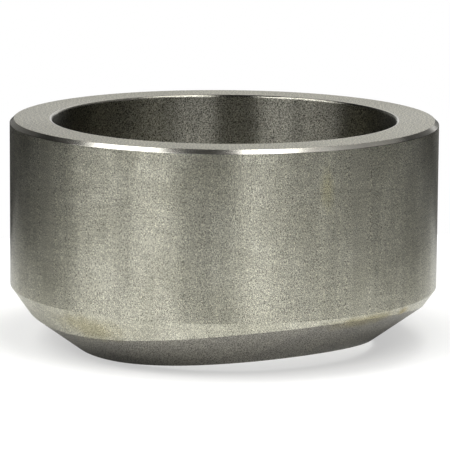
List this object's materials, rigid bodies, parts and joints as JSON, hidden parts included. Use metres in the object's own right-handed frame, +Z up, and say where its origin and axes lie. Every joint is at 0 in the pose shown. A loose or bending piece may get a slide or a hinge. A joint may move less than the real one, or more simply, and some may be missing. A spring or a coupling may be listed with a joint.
{
  "type": "branch outlet fitting",
  "caption": "Stainless steel branch outlet fitting: short round collar with a socket for a branch pipe and a saddled, bevelled foot that is welded onto a run pipe.",
  "frame": {"origin": "crotch point: where the branch axis meets the run pipe's outer surface, under the middle of the saddle", "axes": "+Z up the branch axis out of the socket, +X along the run pipe's axis, so the two legs of the saddle lie towards +Y and -Y"},
  "size_m": [0.0762, 0.0762, 0.0402],
  "materials": {
    "turned_stainless": "fine lathe-turned and lightly pickled stainless steel, satin, with faint circumferential tool marks"
  },
  "bodies": {
    "root": {"outlet_body": "turned_stainless"}
  },
  "joints": []
}
